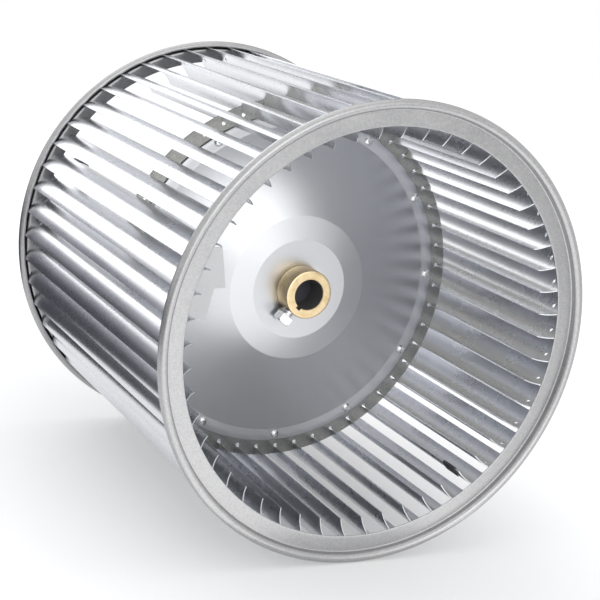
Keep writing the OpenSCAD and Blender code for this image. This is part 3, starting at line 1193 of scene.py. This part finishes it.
    def paint_bore_shade(self, piece: Object) -> None:
        """Gives the faces inside the bore, its keyway and the cross hole a dark finish, which is
        painted shade in these hollows.

        A face is inside where its middle is nearer to the shaft than the bore's floor and it does
        not look along the shaft.

        Args:
            piece: the hub's object.
        """
        mesh = piece.data
        mesh.materials.append(Finish.BORE.material)
        middles, normals = np.empty((2, len(mesh.polygons) * 3))
        mesh.polygons.foreach_get("center", middles)
        mesh.polygons.foreach_get("normal", normals)
        x, y, _ = middles.reshape(-1, 3).T / MM
        wall = (np.hypot(x, y) < self.key_r + self.margin) & (np.abs(normals[2::3]) < 0.5)
        mesh.polygons.foreach_set("material_index", wall.astype(int))
        mesh.update()


@dataclass
class SetScrew:
    """The square-head set screw over the keyway.

    Attributes:
        hub: the hub that it goes through.
        screw_d: thread diameter.
        thread_pitch: distance between threads.
        thread_depth: depth of a thread.
        tip_gap: distance of its tip from the keyway's floor.
        tip_l: length of the tapered tip.
        head_w: width of the square head across flats.
        head_h: its height.
        show: shank between hub and head.
        overlap: how far the shank runs on into the head.
    """

    hub: Hub
    screw_d: float = 7.9
    thread_pitch: float = 1.41
    thread_depth: float = 0.75
    tip_gap: float = 0.3
    tip_l: float = 1.2
    head_w: float = 7.9
    head_h: float = 5.6
    show: float = 2.6
    overlap: float = 0.2

    def shank(self) -> Surface:
        """The threaded shank.

        The radius at distance x and angle t is the thread's radius less its depth times a
        triangle wave of x / pitch - t / 2 pi.

        Returns:
            The closed surface, which ends inside the head.
        """
        tip = self.hub.key_r + self.tip_gap
        end = self.hub.hub_d / 2 + self.show + self.overlap
        along = np.linspace(tip, end, 64)[:, None]
        turn = np.linspace(0, 2 * np.pi, 48, endpoint=False)[None]
        phase = (along / self.thread_pitch - turn / (2 * np.pi)) % 1
        taper = 1 - np.clip((along - tip) / self.tip_l, 0, 1)
        radius = self.screw_d / 2 - self.thread_depth * 2 * np.abs(phase - 0.5) - taper
        return capped(self.hub.across(along, radius, turn))

    def head(self) -> Surface:
        """The square head, its corners cut by a cone at the outer end.

        The square's radius at angle t is (w / 2) / cos(t folded to +-45 degrees), less a little
        at the rounded edges, and never more than the cone's.

        Returns:
            The closed surface.
        """
        angle, h = np.arange(0, 360, 3.0), self.head_h
        square = self.head_w / 2 / np.cos(np.radians((angle + 45) % 90 - 45))[None]
        along = np.array([0, 0.25, h - 1.3, h - 0.7, h - 0.2, h])[:, None]
        cone = self.head_w * np.array([0.60, 0.8, 0.8, 0.655, 0.585, 0.53])[:, None]
        less = np.array([0.2, 0, 0, 0, 0.02, 0.2])[:, None]
        radius = np.minimum(square - less, cone)
        start = self.hub.hub_d / 2 + self.show
        return capped(self.hub.across(start + along, radius, np.radians(angle)[None]))

    def build(self) -> Object:
        """Builds shank and head as one piece and dresses it.

        Returns:
            The screw's object.
        """
        body = together([self.shank(), self.head()])
        piece = make_piece("set_screw_threaded", body, Finish.SCREW, sharp=28)
        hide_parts("set_screw")
        return piece


@dataclass
class Rivets:
    """The blind rivets that join disc and centre ring.

    Attributes:
        sizes: the wheel's sizes.
        count: number of rivets.
        inset: their distance from the disc's edge.
        first_at: angle of the first.
        shank_d: shank diameter.
        head_d: head diameter.
        head_h: head height.
        eye_d: diameter of the hole that the broken pin leaves.
    """

    sizes: WheelSizes
    count: int = 12
    inset: float = 3.1
    first_at: float = 3.1
    shank_d: float = 3.2
    head_d: float = 6.0
    head_h: float = 1.3
    eye_d: float = 1.7

    def profile(self) -> np.ndarray:
        """Outline of one rivet: the pin's stub, the eye's lip, the dome, the shank and the tail.

        Returns:
            Pairs of radius and height over the disc's lap.
        """
        head_r, shank_r, eye_r = self.head_d / 2, self.shank_d / 2, self.eye_d / 2
        tail_r, below = 0.7 * self.shank_d, -(self.sizes.disc_t + self.sizes.centre_t)
        dome_r = (head_r**2 + self.head_h**2) / (2 * self.head_h)
        lowest = math.degrees(math.asin((dome_r - self.head_h) / dome_r))
        highest = math.degrees(math.acos((eye_r + 0.25) / dome_r))
        dome = arc((0, self.head_h - dome_r), dome_r, highest, lowest, steps=8)
        pin = [[0, 0.15], [eye_r * 0.55, 0.1], [eye_r, -0.3], [eye_r, self.head_h * 0.75]]
        lip = [eye_r + 0.08, dome[0, 1] - 0.02]
        shank = [[head_r - 0.15, 0], [shank_r, 0], [shank_r, below]]
        bulge = [[tail_r - 0.3, below], [tail_r, below - 0.5], [tail_r - 0.35, below - 1.3]]
        end = [[eye_r, below - 1.6], [eye_r * 0.6, below - 1.45], [0, below - 1.45]]
        return np.vstack([pin, lip, dome, shank, bulge, end])

    def build(self) -> Object:
        """Revolves one rivet, sets the copies and dresses them.

        Returns:
            The rivets' object.
        """
        s = self.sizes
        one = revolve(self.profile(), segments=28, closed=False)
        points = one.points + [s.disc_r - self.inset, 0, s.lap_z]
        places = self.first_at + np.arange(self.count) * 360 / self.count
        copies = [Surface(turned(points, place), one.faces) for place in places]
        piece = make_piece("rivets_set", together(copies), Finish.RIVET, sharp=40)
        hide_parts("rivets")
        return piece


@dataclass
class BalanceClip:
    """A spring strip folded over a blade's inner edge.

    Attributes:
        shape: the blade's arc.
        end: the wheel's end near which it sits.
        blade: number of the blade that carries it, from 0.
        inset: distance from the rolled edge's middle.
        length: its length along the blade.
        reach: its depth over the blade's edge.
        strip_t: thickness of the strip.
        gap: play between strip and blade.
        edge: length of the slight taper at its ends.
        taper: how far that taper draws the outline to its middle, as a share.
    """

    shape: BladeArc
    end: End
    blade: int
    inset: float = 14.0
    length: float = 12.0
    reach: float = 6.0
    strip_t: float = 0.6
    gap: float = 0.1
    edge: float = 0.08
    taper: float = 0.006

    def build(self) -> Object:
        """Carries the folded strip's outline along the blade, with slight tapers at its ends.

        The outline runs along one side of the blade, round its inner edge in a half circle and
        back along the other side.

        Returns:
            The clip's object.
        """
        s, shape = self.shape.sizes, self.shape
        off = s.blade_t / 2 + self.gap + self.strip_t / 2
        tip = -shape.half + self.reach / shape.radius
        side = np.linspace([tip, off], [-shape.half, off], 12)
        turn = np.linspace(0, np.pi, 9)[1:-1]
        fold = [-shape.half - off * np.sin(turn) / shape.radius, off * np.cos(turn)]
        line = np.vstack([side, np.transpose(fold), side[::-1] * [1, -1]])
        flat = line * [shape.radius, 1]
        outline = sheet_profile(flat, self.strip_t, end_steps=3)
        start = s.curl_d / 2 + self.inset
        if self.end is End.FRONT:
            start = s.wheel_w - start - self.length
        stations = [0, self.edge, self.length / 2, self.length - self.edge, self.length]
        inward = self.taper * np.array([1, 0, 0, 0, 1])[:, None, None]
        loops = outline[None] + inward * (flat.mean(axis=0) - outline)[None]
        along = start + np.array(stations)[:, None]
        points = shape.point(loops[..., 0] / shape.radius, along, loops[..., 1], self.blade)
        name = f"balance_clip_{self.end.value}"
        caps = [self.cap(points[-1]), self.cap(points[0])]
        body = together([grid(points, wrap_columns=True), *caps])
        piece = make_piece(f"{name}_strip", body, Finish.CLIP, sharp=40)
        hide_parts(name)
        return piece

    @staticmethod
    def cap(loop: np.ndarray) -> Surface:
        """Closes the folded strip's end with quads from one side of the strip to the other.

        Args:
            loop: the outline's points.

        Returns:
            The surface.
        """
        half = len(loop) // 2
        shifted = np.roll(loop, 1, axis=0)
        return grid(np.stack([shifted[:half], shifted[::-1][:half]], axis=1))


@dataclass
class BlankLabel:
    """A blank paper label that lies on the disc's cone.

    Attributes:
        disc: the disc that carries it.
        name: the object's name.
        corner_pixels: its four corners in pixels of the photograph, 600 by 600.
        eye: the camera that turns pixels into places.
        paper: thickness of the paper.
        glue: thickness of the glue under it.
        points: points along each side.
    """

    disc: HubDisc
    name: str
    corner_pixels: tuple[Pair, ...]
    eye: "Camera"
    paper: float = 0.15
    glue: float = 0.02
    points: int = 13

    def build(self) -> Object:
        """Lays a grid between the corners on the cone and gives it the paper's thickness.

        A point of the grid is the bilinear mean of the corners in x and y, and its height is the
        cone's at that radius.

        Returns:
            The label's object.
        """
        front = self.disc.front_line()
        corners = np.array([self.eye.onto_disc(pixel, front) for pixel in self.corner_pixels])
        side = np.linspace(0, 1, self.points)
        u, v = np.meshgrid(side, side, indexing="ij")
        weight = np.stack([(1 - u) * (1 - v), u * (1 - v), u * v, (1 - u) * v], axis=-1)
        flat = weight @ corners[:, :2]
        radius = np.hypot(flat[..., 0], flat[..., 1])
        height = np.interp(radius, front[:, 0], front[:, 1])
        tilt = np.interp(radius, front[:, 0], np.gradient(front[:, 1], front[:, 0]))
        aside = -tilt[..., None] * flat / radius[..., None]
        normal = np.concatenate([aside, np.ones_like(tilt)[..., None]], axis=-1)
        normal /= np.linalg.norm(normal, axis=-1)[..., None]
        below = np.concatenate([flat, height[..., None]], axis=-1) + self.glue * normal
        above = below + self.paper * normal
        lines = (np.s_[0], np.s_[-1], np.s_[:, 0], np.s_[:, -1])
        walls = [grid(np.stack([below[line], above[line]])) for line in lines]
        body = together([grid(above), grid(below), *walls])
        return make_piece(self.name, body, Finish.PAPER, sharp=40)


# The photograph's view and light


@dataclass(frozen=True)
class Camera:
    """The photograph's camera.

    Attributes:
        place: its place in the wheel's frame, in millimetres.
        right: the picture's right in the wheel's frame.
        up: the picture's up.
        back: the direction from the wheel to the camera.
        pixels: width of the picture.
        focal_pixels: focal length in pixels.
        sensor: width of the sensor in millimetres.
        search: where a line of sight can meet the disc, in millimetres from the camera.
        clip: nearest and farthest distance that is seen, in metres.
    """

    place: Triple = (-428.61, 216.08, 962.50)
    right: Triple = (0.88995, 0.12117, 0.43963)
    up: Triple = (0.0, 0.96404, -0.26572)
    back: Triple = (-0.45601, 0.23648, 0.85798)
    pixels: float = 600.0
    focal_pixels: float = 1515.15
    sensor: float = 36.0
    search: Pair = (500.0, 1300.0)
    clip: Pair = (0.05, 20.0)

    def build(self) -> None:
        """Makes the camera and gives it to the scene."""
        data = bpy.data.cameras.new("photo_camera")
        data.sensor_width = self.sensor
        data.lens = self.focal_pixels * self.sensor / self.pixels
        data.clip_start, data.clip_end = self.clip
        camera = bpy.data.objects.new("photo_camera", data)
        turn = Matrix((self.right, self.up, self.back)).transposed()
        camera.matrix_world = Matrix.Translation(Vector(self.place) * MM) @ turn.to_4x4()
        bpy.context.scene.collection.objects.link(camera)
        bpy.context.scene.camera = camera

    def onto_disc(self, pixel: Pair, front: np.ndarray) -> np.ndarray:
        """Where a pixel's line of sight meets the disc's front.

        The line is place + t * direction, and t is where its height crosses the profile's height
        at its radius, found on a row of t at every 0.1 mm and between its two nearest values.

        Args:
            pixel: column and row in the photograph.
            front: pairs of radius and height of the disc's front.

        Returns:
            The point in millimetres.
        """
        column, row = pixel[0] - self.pixels / 2, pixel[1] - self.pixels / 2
        direction = column * np.array(self.right) - row * np.array(self.up)
        direction -= self.focal_pixels * np.array(self.back)
        direction /= np.linalg.norm(direction)
        line = np.array(self.place) + np.linspace(*self.search, 8001)[:, None] * direction
        over = line[:, 2] - np.interp(np.hypot(line[:, 0], line[:, 1]), front[:, 0], front[:, 1])
        hit = int(np.argmax(over <= 0))
        share = over[hit - 1] / (over[hit - 1] - over[hit])
        return line[hit - 1] * (1 - share) + line[hit] * share


def stage_object(name: str, points: np.ndarray | list, faces: list, material: Material) -> Object:
    """Makes an object of the stage.

    Args:
        name: its name.
        points: its points in metres.
        faces: its faces.
        material: its material.

    Returns:
        The object.
    """
    mesh = bpy.data.meshes.new(name)
    mesh.from_pydata(points, [], faces)
    mesh.materials.append(material)
    item = bpy.data.objects.new(name, mesh)
    bpy.context.scene.collection.objects.link(item)
    return item


def bore_shade_backdrop(hub: Hub, margin: float = 0.5, gap: float = 0.2) -> None:
    """Makes the small dark disc just behind the hub's staked rim, clear from behind; it paints the
    shade seen through the bore.

    The photograph shows the bore dark.

    Args:
        hub: the hub.
        margin: how far the disc goes past the keyway's floor.
        gap: its distance from the hub.
    """
    bench = NodeBench("bore_shade_backdrop")
    dark = bench.add("ShaderNodeBsdfDiffuse", Color=(0.10, 0.10, 0.115, 1))
    bench.close(bench.one_sided(dark.outputs[0]))
    turn = np.linspace(0, 2 * np.pi, 48, endpoint=False)
    disc = fan(about_shaft(np.array(hub.key_r + margin), turn, hub.foot - gap))
    points, faces = (disc.points * MM).tolist(), disc.faces[0].tolist()
    backdrop = stage_object("bore_shade_backdrop", points, faces, bench.owner)


@dataclass(frozen=True)
class Lamp:
    """A square soft lamp.

    Attributes:
        name: its name.
        toward: direction from the wheel to the lamp.
        distance: metres from the wheel's middle.
        size: side in metres.
        power: watts.
    """

    name: str
    toward: Triple
    distance: float
    size: float
    power: float

    def build(self) -> None:
        """Makes the lamp, turned to the wheel's middle."""
        data = bpy.data.lights.new(self.name, "AREA")
        data.energy, data.size = self.power, self.size
        lamp = bpy.data.objects.new(self.name, data)
        direction = Vector(self.toward).normalized()
        lamp.location = Vector((0, 0, WHEEL_MIDDLE)) + direction * self.distance
        lamp.rotation_mode = "QUATERNION"
        lamp.rotation_quaternion = direction.to_track_quat("Z", "Y")
        bpy.context.scene.collection.objects.link(lamp)


@dataclass(frozen=True)
class Card:
    """A curved card that stands or lies round the wheel, for the metal to mirror.

    It is part of a ring about the wheel's middle: a point at azimuth a, radius r and height h is
    (r sin a, h, r cos a), counted from the floor. Only gloss sees it, and it throws no shadow.

    Attributes:
        name: its name.
        azimuth: where it starts and ends, in degrees from the front towards the right.
        radius: distance from the wheel at its start and end, in metres.
        height: where it starts and ends over the floor, in metres.
        level: its brightness, with 1 for white.
        tint: its colour.
    """

    name: str
    azimuth: Pair
    radius: Pair
    height: Pair
    level: float
    tint: Triple = (1.0, 1.0, 1.0)

    def build(self, floor_level: float) -> None:
        """Makes the card.

        Args:
            floor_level: the floor's place along Y in metres.
        """
        bench = NodeBench(self.name)
        tone = bench.add("ShaderNodeEmission", Color=(*self.tint, 1), Strength=self.level)
        bench.close(tone.outputs[0])
        angle = np.radians(np.linspace(*self.azimuth, 25))[:, None]
        radius, height = np.linspace(*self.radius, 3)[None], np.linspace(*self.height, 3)[None]
        place = radius * np.sin(angle), floor_level + height, radius * np.cos(angle) + WHEEL_MIDDLE
        curve = grid(np.stack(np.broadcast_arrays(*place), axis=-1))
        points, faces = curve.points.tolist(), curve.faces[0].tolist()
        card = stage_object(self.name, points, faces, bench.owner)
        card.visible_camera = card.visible_diffuse = card.visible_shadow = False


LAMPS = (
    Lamp("back_key", (-0.10, 0.5, -0.86), 1.6, 1.2, 6.5),
    Lamp("front_key", (0.05, 0.26, 0.96), 2.0, 1.1, 7.0),
    Lamp("top", (-0.1, 1.0, 0.0), 1.6, 1.6, 4.0),
)
VIOLET = (0.82, 0.82, 1.0)
LOW = (0.002, 0.002)  # height of a card that lies on the floor
CARDS = (
    Card("left_card", (205, 332), (0.6, 0.6), (0.0, 0.16), 0.12, VIOLET),
    Card("back_left_card", (199, 258), (0.36, 0.36), (0.0, 0.12), 0.08, VIOLET),
    Card("far_left_card", (201, 226), (0.9, 0.9), (0.14, 0.34), 0.25, VIOLET),
    Card("right_low_card", (95, 157), (0.6, 0.6), (0.0, 0.14), 0.10),
    Card("right_high_card", (126, 161), (0.8, 0.8), (0.14, 0.9), 0.38, (1.0, 0.98, 0.90)),
    Card("front_card", (-42, 36), (0.17, 0.5), LOW, 1.65),
    Card("front_left_card", (-42, 16), (0.5, 0.9), LOW, 1.7),
    Card("far_front_card", (18, 56), (1.0, 3.0), LOW, 0.62),
    Card("back_card", (162, 197), (0.17, 0.6), LOW, 1.3),
)


@dataclass
class Studio:
    """Floor, world, lamps and cards.

    Attributes:
        floor_level: the floor's place along Y in metres.
        floor_half: half the floor's side in metres.
    """

    floor_level: float
    floor_half: float = 3.0

    def world(self) -> None:
        """Makes a plain world, white to the camera, to gloss and to glass."""
        bench = NodeBench("studio", world=True)
        shown = bench.add("ShaderNodeBackground", Color=(1, 1, 1, 1))
        lighting = bench.add("ShaderNodeBackground", Color=(0.97, 0.98, 1, 1), Strength=1.0)
        bench.close(bench.mix(bench.straight(), lighting.outputs[0], shown.outputs[0]))
        bpy.context.scene.world = bench.owner

    def floor(self) -> None:
        """Makes a pale floor that the wheel lies on, clear from behind so that it hides no view.

        Its lift to white grows with the distance from where the wheel touches it, so that the
        wheel's shadow stays; the weaker lift near the wheel is itself a painted shadow round its
        footprint, which the metal mirrors too.
        """
        bench = NodeBench("pale_floor")
        matt = bench.add("ShaderNodeBsdfDiffuse", Color=(0.52, 0.52, 0.52, 1)).outputs[0]
        # Weaker lift near the wheel's footprint: a painted shadow on the floor, seen by the camera
        # and in the metal.
        away = bench.place((1, 0, 0.55), (0, 0, -0.07))
        away = bench.add("ShaderNodeVectorMath", {"operation": "LENGTH"}, away).outputs["Value"]
        strength = bench.spread(away, (0.05, 0.26), (0.32, 0.54))
        glow_with_painted_shadow = bench.add("ShaderNodeEmission", Strength=strength).outputs[0]
        both = bench.add("ShaderNodeAddShader", None, matt, glow_with_painted_shadow).outputs[0]
        bench.close(bench.one_sided(bench.mix(bench.straight(), matt, both)))
        signs = ((-1, -1), (-1, 1), (1, 1), (1, -1))
        corners = [(x * self.floor_half, self.floor_level, z * self.floor_half) for x, z in signs]
        plane = stage_object("floor", corners, [(0, 1, 2, 3)], bench.owner)

    def build(self) -> None:
        """Sets up world, floor, lamps and cards."""
        self.world()
        self.floor()
        for lamp in LAMPS:
            lamp.build()
        for card in CARDS:
            card.build(self.floor_level)
        bpy.context.scene.view_settings.view_transform = "Standard"


# The whole

# Corners of the two labels, in pixels of the photograph
UPPER_LABEL = ((207, 247), (222.5, 247), (225.5, 287.5), (195, 291))
LOWER_LABEL = ((195, 287), (214.5, 287), (204.5, 321.5), (188, 314.5))
Part = EndRing | HubDisc | Hub | SetScrew | Rivets | BalanceClip | Blade | BlankLabel


def dress_node(name: str, finish: Finish) -> None:
    """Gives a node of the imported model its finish.

    Args:
        name: the node's name.
        finish: the finish.
    """
    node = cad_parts[name]
    node.data.materials.clear()
    node.data.materials.append(finish.material)


def wheel_parts(sizes: WheelSizes, hub: Hub, camera: Camera) -> list[Part]:
    """Every part of the wheel that this script builds.

    Args:
        sizes: the wheel's sizes.
        hub: the hub.
        camera: the photograph's camera, which places the labels.

    Returns:
        The parts, in the order in which they are built.
    """
    shape, disc = BladeArc(sizes), HubDisc(sizes)
    return [
        EndRing(sizes, End.FRONT),
        EndRing(sizes, End.REAR),
        disc,
        hub,
        SetScrew(hub),
        Rivets(sizes),
        BalanceClip(shape, End.FRONT, blade=44),
        BalanceClip(shape, End.REAR, blade=22),
        *(Blade(shape, index) for index in range(sizes.blades)),
        BlankLabel(disc, "blank_label_upper", UPPER_LABEL, camera),
        BlankLabel(disc, "blank_label_lower", LOWER_LABEL, camera),
    ]


def main() -> None:
    """Builds the wheel's parts in order and then the stage."""
    logging.basicConfig(level=logging.INFO, format="%(message)s")
    sizes, camera = WheelSizes(), Camera()
    hub = Hub(sizes)
    camera.build()
    # The centre ring's darker zinc paints the shade between the blades.
    dress_node("centre_ring", Finish.CENTRE_RING)
    for part in wheel_parts(sizes, hub, camera):
        piece = part.build()
        LOG.info("%s: %d faces", piece.name, len(piece.data.polygons))
    Studio(-sizes.outer_r * MM).build()
    # A dark disc behind the hub: painted shade seen through the bore.
    bore_shade_backdrop(hub)


if __name__ == "__main__":
    main()
